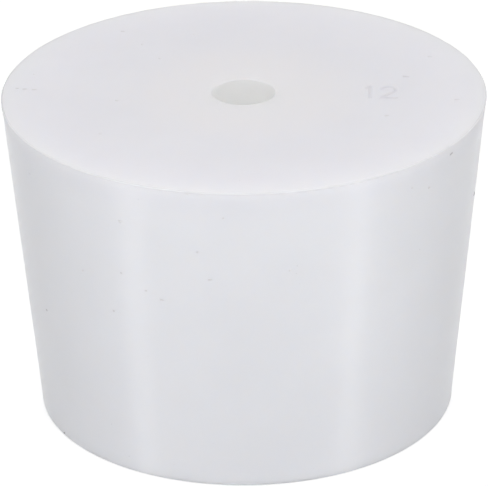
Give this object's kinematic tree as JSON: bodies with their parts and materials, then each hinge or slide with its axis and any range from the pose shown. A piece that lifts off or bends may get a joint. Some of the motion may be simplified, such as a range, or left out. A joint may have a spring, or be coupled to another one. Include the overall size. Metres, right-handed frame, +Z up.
{
  "type": "rubber stopper",
  "caption": "Solid tapered stopper of translucent silicone rubber with one straight hole for a glass tube, for closing a vessel's neck.",
  "frame": {"origin": "centre of the narrow end's flat face, which the stopper stands on", "axes": "+Z runs up the hole's axis from the narrow end to the wide end; the stopper is round, so +X and +Y are free"},
  "size_m": [0.062, 0.062, 0.0425],
  "materials": {
    "silicone": "satin, milky and slightly translucent"
  },
  "bodies": {
    "root": {"stopper": "silicone"}
  },
  "joints": []
}
